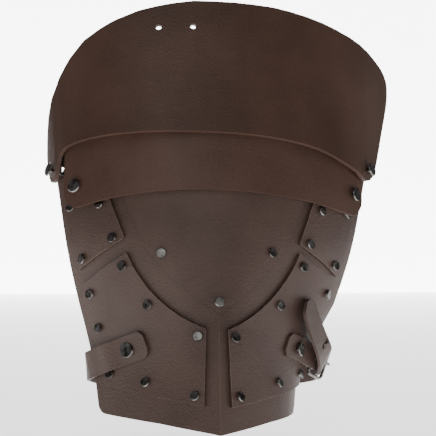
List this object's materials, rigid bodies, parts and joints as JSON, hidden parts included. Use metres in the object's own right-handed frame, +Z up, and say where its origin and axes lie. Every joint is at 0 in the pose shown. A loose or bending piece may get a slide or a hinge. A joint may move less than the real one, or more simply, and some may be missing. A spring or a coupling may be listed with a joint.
{
  "type": "leather pauldron",
  "caption": "Leather shoulder guard: wide arched cap and narrow lame riveted to a keeled upper-arm plate with layered panels, dome rivets, strap and wire buckle.",
  "frame": {"origin": "on the inner face of the shoulder cap, near the middle of its top edge, where the cap sits on the shoulder; the part is held up there", "axes": "+Z up along the upper arm, -Y out from the keel of the arm plate (the face that shows), +X to the side with the buckle"},
  "size_m": [0.2682, 0.1413, 0.3152],
  "materials": {
    "brown_leather": "dark brown, fine grain, satin",
    "plate_leather": "dark brown, fine grain, satin",
    "antique_metal": "antique nickel, darkened and polished on the high spots"
  },
  "bodies": {
    "arm": {"arm_plate": "plate_leather", "arm_strap": "plate_leather", "buckle_frame": "antique_metal", "buckle_prong": "antique_metal", "buckle_tab": "plate_leather", "lower_left_rivet_1": "antique_metal", "lower_left_rivet_2": "antique_metal", "lower_left_rivet_3": "antique_metal", "lower_left_rivet_4": "antique_metal", "lower_left_rivet_5": "antique_metal", "lower_left_rivet_6": "antique_metal", "lower_left_rivet_7": "antique_metal", "lower_left_rivet_8": "antique_metal", "lower_plate_left": "plate_leather", "lower_plate_right": "plate_leather", "lower_right_rivet_1": "antique_metal", "lower_right_rivet_2": "antique_metal", "lower_right_rivet_3": "antique_metal", "lower_right_rivet_4": "antique_metal", "lower_right_rivet_5": "antique_metal", "lower_right_rivet_6": "antique_metal", "lower_right_rivet_7": "antique_metal", "lower_right_rivet_8": "antique_metal", "shield_plate": "plate_leather", "shield_rivet_1": "antique_metal", "shield_rivet_2": "antique_metal", "shield_rivet_3": "antique_metal", "strap_snap": "antique_metal", "tab_rivet": "antique_metal", "upper_left_rivet_1": "antique_metal", "upper_left_rivet_2": "antique_metal", "upper_left_rivet_3": "antique_metal", "upper_left_rivet_4": "antique_metal", "upper_plate_left": "plate_leather", "upper_plate_right": "plate_leather", "upper_right_rivet_1": "antique_metal", "upper_right_rivet_2": "antique_metal", "upper_right_rivet_3": "antique_metal", "upper_right_rivet_4": "antique_metal"},
    "lame": {"lame": "brown_leather", "lame_pivot_rivet_left": "antique_metal", "lame_pivot_rivet_right": "antique_metal"},
    "cap": {"cap_pivot_rivet_left": "antique_metal", "cap_pivot_rivet_right": "antique_metal", "shoulder_cap": "brown_leather"}
  },
  "joints": [
    {"name": "cap_turn", "type": "hinge", "parent": "arm", "child": "cap", "pos_m": [0.01522, 0.03007, -0.10327], "axis": [0.9984, -0.0571, 0.0023], "range_deg": [-5, 8]},
    {"name": "lame_turn", "type": "hinge", "parent": "arm", "child": "lame", "pos_m": [0.01741, 0.01555, -0.11877], "axis": [0.9995, -0.0136, -0.0283], "range_deg": [-5, 4]}
  ]
}
